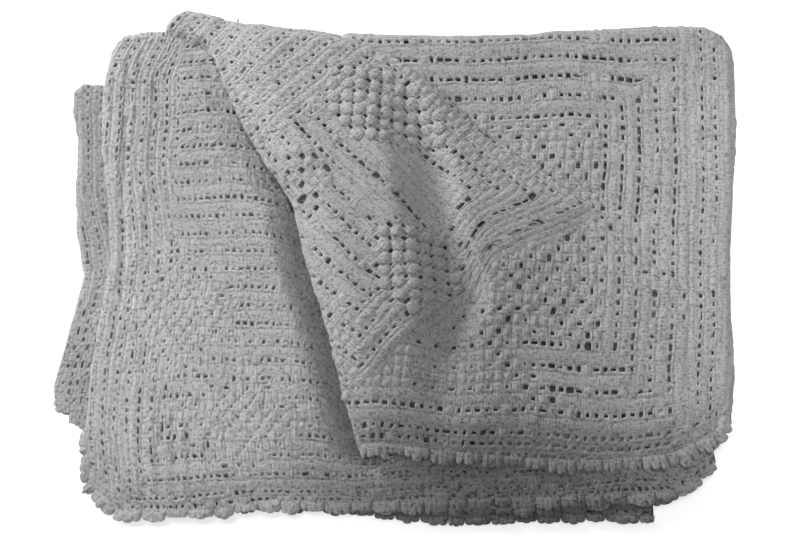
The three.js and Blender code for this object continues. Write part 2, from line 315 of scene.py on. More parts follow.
class Panel:
    """A stretch of the cloth: its outline with rolled edges, its height and its lattice of stitches.

    An outline's corners are (x, y, radius of the roll); a radius of 0 is a plain end under other cloth.
    A stitch is half as many posts wide as a cell's side has steps. Some eyelets are worked shut.
    """

    def __init__(self, outline, height, plan, columns, rows, chart, seed, steps=6, groove=0.3, shut=0.1, puff=0.6):
        self.height, self.plan, self.chart = height, plan, chart
        self.columns, self.rows, self.seed = columns, rows, seed
        self.steps, self.groove, self.shut, self.puff = steps, groove, shut, puff
        self.start = np.array(outline, float)
        self.stop = np.roll(self.start, -1, 0)

    def inside(self, x, y):
        """Whether points lie within the outline."""
        within = np.zeros(np.shape(x), bool)
        for (ax, ay, _), (bx, by, _) in zip(self.start, self.stop):
            if ay != by:
                crossed = (ay > y) != (by > y)
                within ^= crossed & (x < (bx - ax) * (y - ay) / (by - ay) + ax)
        return within

    def nearest_edge(self, x, y):
        """How far points lie from the outline, where its nearest point is and its roll there."""
        gap = np.full(np.shape(x), np.inf)
        foot_x, foot_y, roll = np.zeros_like(gap), np.zeros_like(gap), np.zeros_like(gap)
        for (ax, ay, ar), (bx, by, br) in zip(self.start, self.stop):
            dx, dy = bx - ax, by - ay
            t = np.clip(((x - ax) * dx + (y - ay) * dy) / (dx * dx + dy * dy), 0, 1)
            fx, fy = ax + t * dx, ay + t * dy
            far = np.hypot(x - fx, y - fy)
            closer = far < gap
            gap = np.where(closer, far, gap)
            foot_x, foot_y = np.where(closer, fx, foot_x), np.where(closer, fy, foot_y)
            roll = np.where(closer, ar + t * (br - ar) if ar and br else 0, roll)
        return gap, foot_x, foot_y, roll

    def covers(self, x, y):
        """Whether there is cloth at points of the flat plan, a rolled edge included."""
        gap, _, _, roll = self.nearest_edge(x, y)
        return self.inside(x, y) | (gap < roll * np.pi * ROLL_SHARE)

    def lay(self, x, y):
        """Points of the flat plan on the folded cloth: past a rolled edge they go round and under."""
        out = ~self.inside(x, y)
        place = np.stack([x, y, self.height(x, y)], -1)
        gap, fx, fy, roll = self.nearest_edge(x[out], y[out])
        rolled = roll > 0
        radius = np.where(rolled, roll, 1)
        angle = np.minimum(gap / radius, np.pi)
        onward = np.maximum(gap - np.pi * radius, 0)
        reach = np.where(rolled, radius * np.sin(angle) - onward, gap) / np.maximum(gap, 1e-9)
        drop = np.where(rolled, radius * (1 - np.cos(angle)), 0)
        level = np.where(rolled, self.height(fx, fy), place[out, 2])
        place[out] = np.stack([fx + (x[out] - fx) * reach, fy + (y[out] - fy) * reach, level - drop], -1)
        return place

    def place(self, p, q, height):
        """Points of the lattice on the cloth, with the stitches' own height square to it."""
        x, y = self.plan(p, q)
        across = self.lay(x + SLOPE_STEP, y) - self.lay(x - SLOPE_STEP, y)
        deep = self.lay(x, y + SLOPE_STEP) - self.lay(x, y - SLOPE_STEP)
        normal = np.cross(across, deep)
        normal /= np.maximum(np.linalg.norm(normal, axis=-1, keepdims=True), 1e-9)
        return self.lay(x, y) + normal * height[..., None]

    def room(self, p, q):
        """The share of a usual cell's room that a cell has: stitches that are drawn together lie flatter."""
        (left, low), (right, high) = self.plan(p - 0.5, q), self.plan(p + 0.5, q)
        (near_x, near_y), (far_x, far_y) = self.plan(p, q - 0.5), self.plan(p, q + 0.5)
        area = np.abs((right - left) * (far_y - near_y) - (high - low) * (far_x - near_x))
        return np.clip(area / np.median(area), LEAST_ROOM, 1)

    def cells(self):
        """The cells of the lattice that have cloth, with their middles."""
        i, j = np.meshgrid(np.arange(*self.columns), np.arange(*self.rows), indexing="ij")
        i, j = i.ravel(), j.ravel()
        x, y = self.plan(i + 0.5, j + 0.5)
        kept = self.covers(x, y)
        return i[kept], j[kept], x[kept], y[kept]


WANDER = np.random.default_rng(3).normal(0, 1, (128, 128, 3))


def handmade(p, q, seed):
    """Small wanderings of the lattice and of its height, so that no two stitches are alike."""
    i, j = np.floor(p).astype(int), np.floor(q).astype(int)
    u, v = (p - i)[..., None], (q - j)[..., None]

    def node(di, dj):
        return WANDER[(i + di + 17 * seed) % 128, (j + dj + 5 * seed) % 128]

    near = node(0, 0) * (1 - u) + node(1, 0) * u
    far = node(0, 1) * (1 - u) + node(1, 1) * u
    wander = near * (1 - v) + far * v
    wave_p = 0.22 * np.sin(q / 5.3 + seed) + 0.12 * np.sin(q / 2.1 + 2 * seed + p / 7)
    wave_q = 0.22 * np.sin(p / 4.7 + 3 * seed) + 0.12 * np.sin(p / 2.3 + seed + q / 6)
    swell = 0.5 * np.sin(p / 3.1 + seed) * np.sin(q / 3.7 + 2 * seed)
    return 0.07 * wander[..., 0] + wave_p, 0.07 * wander[..., 1] + wave_q, 0.22 * wander[..., 2] + swell


def crochet(panel):
    """Works a panel's stitches: every cell of its lattice that the outline covers."""
    rng = np.random.default_rng(panel.seed)
    i, j, x, y = panel.cells()
    kind, turned, hole = panel.chart(i, j, x, y)
    kind = np.where((kind == EYELET) & (rng.random(len(kind)) < panel.shut), PAD, kind)
    posts = panel.steps / 2
    phase = np.where(turned, i, j) * 5 // 3 % 2
    lattice, heights, keys, faces, uv = [], [], [], [], []
    count = 0

    def add(cells, points, height, groups, shared):
        nonlocal count
        where = points + np.stack([i[cells], j[cells]], 1)[:, None]
        lattice.append(where.reshape(-1, 2))
        heights.append(np.asarray(height).reshape(-1))
        own = -1 - count - np.arange(where.shape[0] * where.shape[1]).reshape(where.shape[:2])
        part_p, part_q = (np.rint(where[..., axis] * JOINT_PARTS) for axis in (0, 1))
        joint = part_p * 100003 + part_q + 10**9
        keys.append(np.where(shared, joint, own).reshape(-1).astype(np.int64))
        start = count + np.arange(len(cells))[:, None, None] * where.shape[1]
        for group in groups:
            faces.append((group[None] + start).reshape(-1, group.shape[1]))
            flat = where[np.arange(len(cells))[:, None, None], group[None]]
            flat = np.where(turned[cells][:, None, None, None], flat[..., ::-1], flat) * [posts, 1]
            flat[..., 0] += phase[cells][:, None, None] / 2
            uv.append(flat.reshape(-1, 2))
        count += where.shape[0] * where.shape[1]

    cells = np.flatnonzero(kind == EYELET)
    size = np.clip(hole[cells] * rng.normal(1, 0.28, len(cells)), 0.05, 0.42)
    longer = np.exp(rng.normal(0.18, 0.2, len(cells)))
    along, across = np.minimum(size * longer, 0.43), size / longer
    half = np.stack([np.where(turned[cells], across, along), np.where(turned[cells], along, across)], 1)
    points, height, quads = eyelet_cells(panel.steps, half)
    add(cells, points, height, [quads], np.arange(points.shape[1]) < 4 * panel.steps)
    for which, crest, groove in ((BLOCK, ROW_HEIGHT, panel.groove), (PAD, PAD_HEIGHT, 0), (POPCORN, 0.5, 0)):
        cells = np.flatnonzero(kind == which)
        own_crest, own_groove = crest * rng.uniform(0.8, 1.2, len(cells)), groove * rng.uniform(0.4, 1.6, len(cells))
        points, height, quads = solid_cells(panel.steps, own_crest, turned[cells], own_groove, phase[cells])
        add(cells, points, height, [quads], np.ones(points.shape[1], bool))
    cells = np.flatnonzero(kind == POPCORN)
    points, height, quads, cap = popcorn_cells(len(cells), rng)
    add(cells, points, height * panel.puff, [quads, cap], np.zeros(points.shape[1], bool))

    _, first, joined = np.unique(np.concatenate(keys), return_index=True, return_inverse=True)
    height = np.bincount(joined, np.concatenate(heights)) / np.bincount(joined)
    p, q = np.concatenate(lattice)[first].T
    height = height * panel.room(p, q)
    shift_p, shift_q, swell = handmade(p, q, panel.seed)
    from_hem = np.clip(q, 0, 1)
    points = panel.place(p + shift_p, q + shift_q * from_hem, height + swell * from_hem)
    quads, flats = [], []
    for group, flat in zip(faces, uv):
        group = joined[group]
        whole = np.ptp(points[group], axis=1).max(1) < TORN
        quads.append(group[whole])
        flats.append(flat.reshape(*group.shape, 2)[whole].reshape(-1, 2))
    return points, quads, flats


def close_layer(panel, depth):
    """The cloth just beneath a panel, seen through its holes."""
    i, j, _, _ = panel.cells()
    corners = np.stack([[i, j], [i + 1, j], [i + 1, j + 1], [i, j + 1]]).transpose(2, 0, 1)
    nodes, joined = np.unique(corners.reshape(-1, 2), axis=0, return_inverse=True)
    p, q = nodes.T.astype(float)
    _, _, swell = handmade(p, q, panel.seed + 1)
    points = panel.place(p, q, swell - depth)
    quads = joined.reshape(-1, 4)
    whole = np.ptp(points[quads], axis=1).max(1) < 4 * TORN
    return points, [quads[whole]], [corners[whole].reshape(-1, 2) * [panel.steps / 2, 1.0]]


def plain_layer(layer, hem_name, left, right, lower=0.0):
    """A layer within the fold, between its hem, its back and its sides."""
    share, along = np.meshgrid(np.linspace(0, 1, 50), np.linspace(0.02, 0.985, 44), indexing="ij")
    x = left(along) + share * (right(along) - left(along))
    front = hem(hem_name, x)
    y = front + along * (back(x) - front)
    points = np.stack([x, y, layer_height(layer, x, y) - lower - CREVICE_PER_LAYER * layer * crevice(x, y)], -1)
    rows, columns = share.shape
    corner = (np.arange(rows - 1)[:, None] * columns + np.arange(columns - 1)).ravel()
    quads = np.stack([corner, corner + columns, corner + columns + 1, corner + 1], 1)
    flat = points[..., :2].reshape(-1, 2) / [2.4, 7.0]
    return points.reshape(-1, 3), [quads], [flat[quads].reshape(-1, 2)]


# Edging: a band of fans, each a scallop of long posts with a toothed rim, along the hems
SHELL_PITCH = 16.5
SHELL_POSTS = 3
POST_ACROSS, SHELL_DEEP = 6, 6


def edging(line, length, droop, seed, teeth=0.2):
    """Shells along a hem, which runs through the places that line gives for shares of its length.

    teeth is how much of the shells' depth is in their single posts and not in the whole scallop.
    """
    rng = np.random.default_rng(seed)
    root = line(np.linspace(0, 1, 400))
    run = np.append(0, np.cumsum(np.linalg.norm(np.diff(root, axis=0), axis=1)))
    tangent = np.gradient(root, axis=0)
    outward = np.stack([tangent[:, 1], -tangent[:, 0], np.zeros(len(root))], 1)
    outward /= np.linalg.norm(outward, axis=1, keepdims=True)
    shells = max(1, round(run[-1] / SHELL_PITCH))
    joints = np.linspace(0, 1, shells + 1)
    joints[1:-1] += rng.normal(0, 0.12, shells - 1) / shells
    steps = SHELL_POSTS * POST_ACROSS
    shell, inner = np.divmod(np.arange(shells * steps + 1), steps)
    shell, inner = np.minimum(shell, shells - 1), np.where(shell == shells, steps, inner)
    share = inner / steps
    slant = (2 * share - 1)[:, None]
    v = np.linspace(0, 1, SHELL_DEEP + 1)[None]

    def own(low, high):
        """A value of each shell's own, eased to the next one at the joints."""
        value = rng.uniform(low, high, shells)
        joint = (np.append(value[0], value) + np.append(value, value[-1])) / 2
        nearest = np.where(share < 0.5, joint[shell], joint[shell + 1])
        return (value[shell] + (nearest - value[shell]) * np.abs(2 * share - 1) ** 3)[:, None]

    tooth = np.sqrt(np.abs(np.sin(np.pi * SHELL_POSTS * share)))[:, None]
    post = rng.uniform(0.3, 1.35, (shells, SHELL_POSTS))[shell, np.minimum(inner // POST_ACROSS, SHELL_POSTS - 1)]
    scallop = np.sqrt(np.maximum(0, 1 - 0.97 * slant**2))
    rim = (1 - teeth) * (0.2 + 0.8 * scallop) + teeth * post[:, None] * tooth
    out = length * own(0.65, 1.2) * v * rim - 0.8
    puff = own(0.4, 1.8) * scallop * np.sin(np.pi * np.minimum(v * 0.8, 1))
    puff = puff + (0.4 + teeth) * tooth * post[:, None] * np.sqrt(v)
    up = puff - droop * own(0.3, 1.4) * v**1.5 - 1.6 * slant**4 * v
    start, stop = joints[shell], joints[shell + 1]
    fan = slant * 0.1 * v * (stop - start)[:, None] * (1 - slant**4)
    at = np.clip(((start + share * (stop - start))[:, None] + fan) * run[-1], 0, run[-1])
    place = np.stack([np.interp(at, run, root[:, axis]) for axis in range(3)], -1)
    away = np.stack([np.interp(at, run, outward[:, axis]) for axis in range(3)], -1)
    place = place + away * out[..., None]
    place[..., 2] += up
    corner = (np.arange(shells * steps)[:, None] * (SHELL_DEEP + 1) + np.arange(SHELL_DEEP)).ravel()
    quads = np.stack([corner, corner + 1, corner + SHELL_DEEP + 2, corner + SHELL_DEEP + 1], 1)
    along = np.arange(shells * steps + 1)[:, None] / POST_ACROSS
    flat = np.stack(np.broadcast_arrays(2 * along, 2 * v), -1).reshape(-1, 2)
    return place.reshape(-1, 3), [quads], [flat[quads].reshape(-1, 2)]


def new_piece(name, material, *parts):
    """One mesh from arrays of points (millimetres), faces and their corners' stitch coordinates."""
    points, faces, uv = [], [], []
    for part_points, part_faces, part_uv in parts:
        start = sum(map(len, points))
        points.append(part_points)
        faces += [face for group in part_faces for face in (group + start).tolist()]
        uv += [corner.reshape(-1) for corner in part_uv]
    mesh = bpy.data.meshes.new(name)
    points = np.maximum(np.concatenate(points), [-np.inf, -np.inf, 0])
    mesh.from_pydata(((points - [*MIDDLE, 0]) * 0.001).tolist(), [], faces)
    mesh.uv_layers.new(name="stitch").data.foreach_set("uv", np.concatenate(uv).astype(np.float32))
    mesh.polygons.foreach_set("use_smooth", np.ones(len(mesh.polygons), bool))
    mesh.materials.append(material)
    piece = bpy.data.objects.new(name, mesh)
    bpy.context.collection.objects.link(piece)
    return piece


class Socket:
    """A shader value that Python's operators work on."""

    tree = None

    def __init__(self, link):
        self.link = link

    @classmethod
    def node(cls, kind, settings=None, output=0, **sockets):
        made = cls.tree.nodes.new(kind)
        for name, value in (settings or {}).items():
            setattr(made, name, value)
        for name, value in sockets.items():
            slot = made.inputs[int(name[1:])] if name[0] == "_" else made.inputs[name.replace("_", " ")]
            if isinstance(value, Socket):
                cls.tree.links.new(value.link, slot)
            else:
                slot.default_value = value
        return cls(made.outputs[output])

    def math(self, operation, *others):
        values = {f"_{n}": value for n, value in enumerate((self, *others))}
        return Socket.node("ShaderNodeMath", {"operation": operation}, **values)

    def __add__(self, other):
        return self.math("ADD", other)

    __radd__ = __add__

    def __mul__(self, other):
        return self.math("MULTIPLY", other)

    __rmul__ = __mul__

    def __sub__(self, other):
        return self.math("SUBTRACT", other)

    def __rsub__(self, other):
        return Socket.node("ShaderNodeMath", {"operation": "SUBTRACT"}, _0=other, _1=self)

    def sine(self):
        return self.math("SINE")

    def size(self):
        return self.math("ABSOLUTE")


def cotton_yarn(name, dark, light):
    """Matte cotton: posts and rows of stitches, the twist of the yarn, fuzz, lumps, and painted shade towards the
    middle of the front hem.

    dark and light are its grey in the hollows and on the crests: the colour follows the relief, so shade is painted
    into the hollows and between the posts.
    """
    material = bpy.data.materials.new(name)
    material.use_nodes = True
    tree = material.node_tree
    tree.nodes.clear()
    Socket.tree = tree
    stitch = Socket.node("ShaderNodeUVMap", {"uv_map": "stitch"})
    flat = Socket.node("ShaderNodeSeparateXYZ", Vector=stitch)
    u, v = flat, Socket(flat.link.node.outputs[1])
    place = Socket.node("ShaderNodeTexCoord", output=3)
    blotch = Socket.node("ShaderNodeTexNoise", Vector=place, Scale=45.0, Detail=3.0)
    fuzz = Socket.node("ShaderNodeTexNoise", Vector=place, Scale=1100.0, Detail=2.0)
    wobble = Socket.node("ShaderNodeTexNoise", Vector=place, Scale=240.0, Detail=1.0)
    lump = Socket.node("ShaderNodeTexNoise", Vector=place, Scale=430.0, Detail=2.0)
    post = ((u + wobble * 0.7 - 0.35) * math.pi).sine().size()
    row = ((v + wobble * 0.4 - 0.2) * math.pi).sine().size()
    twist = ((v * 4 + u + wobble * 2) * (2 * math.pi)).sine()
    relief = post * 0.25 + twist * 0.12 + lump * 1.6 + fuzz * 0.4
    bump = Socket.node("ShaderNodeBump", Height=relief, Strength=0.9, Distance=0.0007)
    # Painted shade: lump and post also shape the relief, so the hollows and the gaps between posts are painted
    # darker; blotch and fuzz are the yarn's own uneven tone.
    shade = blotch * 0.3 + lump * 0.75 + fuzz * 0.3 + post * 0.12
    tone_and_hollow_shade = Socket.node("ShaderNodeMapRange", Value=shade, From_Min=0.44, From_Max=1.04)
    # Painted shade in the grooves between the rows.
    painted_shade_between_rows = Socket.node("ShaderNodeMapRange", Value=row, From_Max=0.4, To_Min=0.78)
    # Painted shade: where the lumps are lowest, in the gaps between the yarns, the colour is darkened, and more so
    # at the front hem.
    gap = Socket.node("ShaderNodeMapRange", Value=lump, From_Min=0.43, From_Max=0.3)
    across = Socket.node("ShaderNodeSeparateXYZ", Vector=place)
    deep = Socket(across.link.node.outputs[1])
    soft = {"interpolation_type": "SMOOTHSTEP"}
    # Painted shade: the colour is darker towards the middle of the front hem, and less so towards its right.
    middle = Socket.node("ShaderNodeMapRange", soft, Value=across, From_Min=-0.1, From_Max=0.02)
    front = Socket.node("ShaderNodeMapRange", soft, Value=deep, From_Min=-0.09, From_Max=-0.185)
    right = Socket.node("ShaderNodeMapRange", soft, Value=across, From_Min=0.1, From_Max=0.25)
    painted_hem_shade = middle * front * (0.42 - right * 0.3)
    painted_shade_between_yarns = 1 - gap * (0.36 + painted_hem_shade * 0.7)
    colour = (dark + tone_and_hollow_shade * (light - dark)) * painted_shade_between_rows * painted_shade_between_yarns * (1 - painted_hem_shade)
    roughness = 0.86 + fuzz * 0.12
    shader = Socket.node(
        "ShaderNodeBsdfPrincipled", Base_Color=colour, Roughness=roughness, Normal=bump, Sheen_Weight=0.15
    )
    shader.link.node.inputs["Specular IOR Level"].default_value = 0.2
    out = tree.nodes.new("ShaderNodeOutputMaterial")
    tree.links.new(shader.link, out.inputs["Surface"])
    return material


yarn = cotton_yarn("cotton_yarn", 0.21, 0.43)
# Darker copies of the same cotton: painted shade for the cloth lower in the fold, within it and seen through the
# holes.
half_shaded_yarn = cotton_yarn("cotton_yarn_half_shaded", 0.175, 0.36)
shaded_yarn = cotton_yarn("cotton_yarn_shaded", 0.15, 0.32)
deep_shaded_yarn = cotton_yarn("cotton_yarn_deep_shaded", 0.07, 0.16)


# The turned-back flap and its pleat: rows on the slant, in nested corners
FLAP_PITCH = 7.0
FLAP_AXIS, FLAP_TIP = -28, -114
# Its fold at the back, with the radius of the roll
FLAP_BACK = table(
    "x y roll",
    (-157, 206, 5),
    (-146, 202, 7),
    (-134, 195, 10),
    (-118, 185.5, 14),
    (-92, 177.5, 17),
    (-60, 174, 17),
    (-22, 166, 14),
    (-4, 158, 9),
    (8, 153, 5),
)
BACK_X = np.linspace(8, -157, 56)
FLAP_OUTLINE = (
    (-34, -99, 3),
    (-29, -103, 0),
    (8, -71, 0),
    (45, -41, 0),
    (67, -33, 0),
    (77, -3, 0),
    (107, 13, 0),
    (143, 34, 0),
    (141, 44, 0.9),
    (133, 50, 0.9),
    (115, 65, 0.9),
    (87, 88, 0.9),
    (58, 110, 1.1),
    (30, 137, 2),
    *zip(BACK_X, *(smooth_line(BACK_X, FLAP_BACK["x"], FLAP_BACK[name]) for name in ("y", "roll"))),
    (-163, 204, 4),
    (-169, 197, 3),
    (-170, 190, 3),
    (-168, 182, 0),
    (-158, 178, 0),
    (-144, 174, 0),
    (-136, 177, 3),
    *((x, y, 3) for x, y in zip(FLAP_EDGE["x"][-2:1:-1], FLAP_EDGE["y"][-2:1:-1])),
)


def flap_height(x, y):
    """The flap over the five layers below it, with its pleat and the lowered corner at its back left."""
    joint = 0.3 + 0.9 * np.clip(seam_gap(x, y) / 6, -1, 1)
    before = (x + 138) * 0.357 + (y - 180) * 0.934
    corner = 3 * smoothstep(-130, -160, x) + 9 * smoothstep(5, -8, before) * smoothstep(-131, -143, x)
    return layer_height(5, x, y) + pleat_lift(x, y) + joint - corner


def flap_plan(p, q):
    """A lattice on the slant, whose rows lie flatter towards the end of the pleat."""
    step = FLAP_PITCH / math.sqrt(2)
    x, y = FLAP_AXIS + (q - p) * step, FLAP_TIP + (p + q) * step
    flatter = 0.42 * smoothstep(40, 70, x) * smoothstep(-75, -35, y)
    return x, y + flatter * np.maximum(49 - y, 0)


def flap_chart(i, j, x, y):
    """Nested corners at the tip and at the pleat's nose, slanting rows and clusters between."""
    valley = smooth_line(y, [-60, -29, 10, 42, 74, 106, 175], [38, 61, 50, 39, 29, 18, -24])
    nose = (x > valley) & (y > -40)
    corner = np.where(nose, np.minimum(34 - j, i + 1), np.minimum(i, j))
    by_column = np.where(nose, (i + 1) <= (34 - j), i <= j)
    slant = ~nose & (np.minimum(i, j) > 7)
    corner = np.where(slant, j, corner)
    by_column = np.where(slant, False, by_column)
    top = ~nose & (i > 26)
    corner = np.where(top, i, corner)
    by_column = np.where(top, True, by_column)
    every = np.where(nose & by_column, 4, 2)
    kind = np.where(corner % every == 1, EYELET, np.where(slant | top | (nose & by_column), BLOCK, PAD))
    hole = np.where(nose & by_column, 0.3, np.where(top, 0.15, 0.18))
    solid = slant & (np.abs(x - 8) < 40) & (np.abs(y - 66) < 34)
    kind = np.where(solid & (j % 3 != 1), BLOCK, kind)
    hole = np.where(solid, 0.25, hole)
    open_mesh = (np.hypot((x + 68) / 22, (y - 62) / 26) < 1) & ~nose
    kind = np.where(open_mesh, np.where((i + j) % 2 == 0, EYELET, PAD), kind)
    hole = np.where(open_mesh, 0.26, hole)
    for cx, cy, wide, deep, cut in ((15, -8, 31, 36, 1.35), (-8, 124, 40, 32, 1.0)):
        dx, dy = (x - cx) / wide, (y - cy) / deep
        patch = (np.maximum(np.abs(dx), np.abs(dy)) < 1) & (dx + dy > -1.3) & (dx + dy < cut)
        kind = np.where(patch, np.where((i + j) % 2 == 0, POPCORN, EYELET), kind)
        hole = np.where(patch, 0.2, hole)
    return kind, by_column, hole


# The flat right-hand panel: columns beside the fold, rows along the hem and the back
RIGHT_COLUMNS = table(
    "p off",
    (-60, -375),
    (-14, -81),
    (-13, -75),
    (-12, -68.6),
    (-11, -62.6),
    (-10, -55.6),
    (-9, -49.5),
    (-8, -42),
    (-7, -36),
    (-6, -27.6),
    (-5, -22.9),
    (-4, -21.4),
    (-3, -16.4),
    (-2, -12.2),
    (-1, -6.6),
    (0, -3.4),
    (1, 2),
    (2, 7.5),
    (3, 13),
    (6, 30),
)
RIGHT_ROWS = table("q up", (0, 0), (1, 7.2), (2, 14.4), (3, 21.6), (60, 489))
RIGHT_OUTLINE = (
    (-15, -170, 0),
    (220, -170, 0),
    (224, -140, 6),
    (227, -112, 7.5),
    (230, -80, 8),
    (229.5, -30, 8),
    (232, 13, 8),
    (236, 61, 8),
    (240, 110, 8),
    (241, 143, 8),
    (241, 165, 8.5),
    (240, 176, 9),
    (235.5, 184, 10),
    (226, 187.5, 12),
    (180, 187, 12.4),
    (120, 184.5, 12.4),
    (100, 181.5, 12.4),
    (60, 180.5, 12.4),
    (0, 181.5, 12.4),
    (-34, 182, 12.4),
    (-34, 160, 0),
    (20, 122, 0),
    (75, 78, 0),
    (117, 44, 0),
    (98, 31, 0),
    (59, 11, 0),
    (50, -16, 0),
    (40, -22, 0),
    (-2, -59, 0),
    (-36, -88, 0),
    (-36.5, -92, 3),
    (-31, -111, 3),
    (-25.5, -131, 3),
    (-20, -150, 3),
    (-17, -162, 3),
)
# The seam beside the fold's border
RIGHT_CREASES = ((214, 172, 210, 30, 1.6, -0.9), (210, 30, 205, -100, 1.6, -0.9))


def right_height(x, y):
    """The flat panel, which slips under the flap along their seam and droops at its hem."""
    droop = 2.4 * (1 - smoothstep(-5, 34, y - hem("top", x)))
    gap = seam_gap(x, y)
    joint = 0.5 * (1 + np.clip(gap / 6, -1, 1)) * smoothstep(40, 15, gap)
    lift = pleat_lift(x, y, 20) * smoothstep(140, 100, y)
    return layer_height(5, x, y) + lift - droop - joint + soft_ridges(x, y, RIGHT_CREASES)


def right_plan(p, q):
    """Columns that follow the fold at the right, rows that follow the hem and straighten further in."""
    up = np.interp(q, RIGHT_ROWS["q"], RIGHT_ROWS["up"])
    edge = smooth_line(up - 145, [-150, -110, -40, 13, 61, 143, 190], [226, 231, 233.5, 236, 240, 245, 245])
    x = edge + np.interp(p, RIGHT_COLUMNS["p"], RIGHT_COLUMNS["off"])
    y = -144 + up + (hem("top", x) + SHELL_ROOM + 144) * (1 - smoothstep(0, 120, up))
    return x, y


def right_chart(i, j, x, y):
    """Columns by the fold, rows by the hem and back, meshed bands beside the square's diagonal."""
    from_fold, from_hem, from_back = 239 - x, y + 150, 186 - y
    by_column = ((from_fold < np.minimum(from_hem + 3, from_back + 21)) | (i >= -7)) & (j > 2)
    kind = np.where(np.where(by_column, i % 2 == 0, j % 2 == 0), EYELET, BLOCK)
    kind = np.where((j <= 2) & (i < -4), EYELET, kind)
    kind = np.where((i == -6) | (i == 0), BLOCK, kind)
    hole = np.where(j <= 2, 0.17, np.where(i >= -6, 0.18, 0.22))
    band = (np.abs(np.abs(from_fold - from_hem) - 88) < 12) & (from_hem < 215) & (from_fold > 34)
    band |= (from_fold > 92) & (from_hem > 92) & (from_back > 70)
    kind = np.where(band & (j > 3), np.where((i + j) % 2 == 0, EYELET, PAD), kind)
    hole = np.where(band, 0.2, hole)
    pads = (x < 78) & (y < -24) & (y > -96) & (x + y < 0)
    kind = np.where(pads, np.where((i % 2 == 0) & (j % 2 == 0), EYELET, PAD), kind)
    hole = np.where(pads, 0.17, hole)
    return kind, by_column, hole


def right_hem(share):
    x = np.interp(share, [0, 0.97, 1], [-26, 222, 228])
    y = hem("top", x) + SHELL_ROOM + 3.5 + np.maximum(share - 0.97, 0) * 300
    return np.stack([x, y, right_height(x, y) + 0.6], 1)


# The left-hand panel of the layer below: nested corners by the fold and hem, clusters further in
LEFT_COLUMNS = table("p off", (-6, -26), (0, 0), (16, 69), (100, 489))
LEFT_ROWS = table("q up", (0, 0), (1, 5.5), (2, 11), (3, 17), (4, 23), (5, 30), (6, 37), (60, 415))
LEFT_OUTLINE = (
    (-199, -205, 0),
    (224, -205, 0),
    (224, -112, 0),
    (-8, -118, 0),
    (-26, -70, 0),
    (-40, -20, 0),
    (-52, 40, 0),
    (-84, 100, 0),
    (-108, 172, 0),
    (-122, 187, 7),
    (-150, 189, 7.2),
    (-184, 190, 7.2),
    (-202, 188, 6),
    (-209, 179, 4),
    (-212, 162, 3.4),
    (-214, 140, 3.4),
    (-213, 97, 3.4),
    (-207, 56, 3.4),
    (-203, 10, 3.4),
    (-207, -30, 3.4),
    (-213, -75, 3.4),
    (-215, -115, 3.4),
    (-215, -140, 3.4),
    (-207, -170, 3.4),
)
# Ridges along the fold, and soft ones that run into the hem
LEFT_CREASES = (
    (-205, 172, -205, 60, 4, 1.5),
    (-195, 178, -196, 40, 4, 1.3),
    (-185, 172, -188, 10, 4.5, 1.1),
    (-200, 120, -197, -20, 2.5, -1.2),
    (-173, -108, -169, -172, 4, 1.3),
    (-162, -112, -158, -172, 4, 1.1),
    (-151, -116, -148, -172, 4, 1.2),
    (-138, -128, -136, -172, 4.5, 0.9),
    (-186, -60, -182, -170, 4, 1.0),
)


def left_height(x, y):
    """The layer under the flap: ridges by the fold, a drooping hem and the crevice beside the flap's edge."""
    deep = 2.4 + 4 * smoothstep(-30, -80, x)
    droop = deep * (1 - smoothstep(-5, 34, y - hem("middle", x)))
    return layer_height(4, x, y) + 0.4 - droop - CREVICE_DEPTH * crevice(x, y) + soft_ridges(x, y, LEFT_CREASES)


def left_plan(p, q):
    """Columns that follow the fold at the left, rows that follow the hem and straighten further in."""
    up = np.interp(q, LEFT_ROWS["q"], LEFT_ROWS["up"])
    edge = smooth_line(up - 174, [-174, -120, -75, 10, 97, 150, 190], [-206, -214, -213, -203, -212, -212, -198])
    x = edge + np.interp(p, LEFT_COLUMNS["p"], LEFT_COLUMNS["off"])
    y = -174 + up + (hem("middle", x) + SHELL_ROOM + 174) * (1 - smoothstep(0, 90, up))
    return x, y


def left_chart(i, j, x, y):
    """Columns by the fold, rows beyond them, and two diamonds of clusters with mesh round them."""
    from_fold, from_hem = x + 212, y + 181
    columns = (from_fold < 24 + 0.45 * from_hem) & (from_fold < 50)
    kind = np.where(np.where(columns, i % 2 == 1, j % 2 == 1), EYELET, BLOCK)
    kind = np.where((j == 0) & ~columns, EYELET, kind)
    hole = np.full(len(i), 0.18)
    for cx, cy, wide, deep in ((-112, -118, 42, 32), (-152, -36, 36, 36)):
        reach = np.abs(x - cx) / wide + np.abs(y - cy) / deep
        kind = np.where(reach < 1.35, np.where((i + j) % 2 == 0, EYELET, PAD), kind)
        kind = np.where(reach < 1, np.where((i + j) % 2 == 0, POPCORN, EYELET), kind)
        hole = np.where(reach < 1, 0.12, hole)
    return kind, columns, hole


def left_hem(share):
    x = np.interp(share, [0, 0.08, 0.1, 0.12, 1], [-216, -215, -208, -199, 222])
    y = np.where(share < 0.12, np.interp(share, [0, 0.1, 0.12], [-122, -165, -173]), hem("middle", x) + SHELL_ROOM)
    return np.stack([x, y, left_height(x, y) + 0.2], 1)


# What shows of the half underneath: its side folds and its hems
LOWER_LEFT_OUTLINE = (
    (-239, -95, 3.6),
    (-218, -120, 0),
    (-190, -160, 0),
    (-186, -160, 0),
    (-186, 153, 0),
    (-212, 151, 4.5),
    (-233, 153, 3.8),
    (-237, 149, 3.6),
    (-236, 131, 3.6),
    (-232, 112, 3.6),
    (-231.5, 70, 3.6),
    (-228.5, 33, 3.6),
    (-222, 2, 3.6),
    (-228, -30, 3.6),
    (-234.5, -61, 3.6),
    (-239.5, -85, 3.6),
)


def lower_left_height(x, y):
    return layer_height(2, x, y) + 0.6


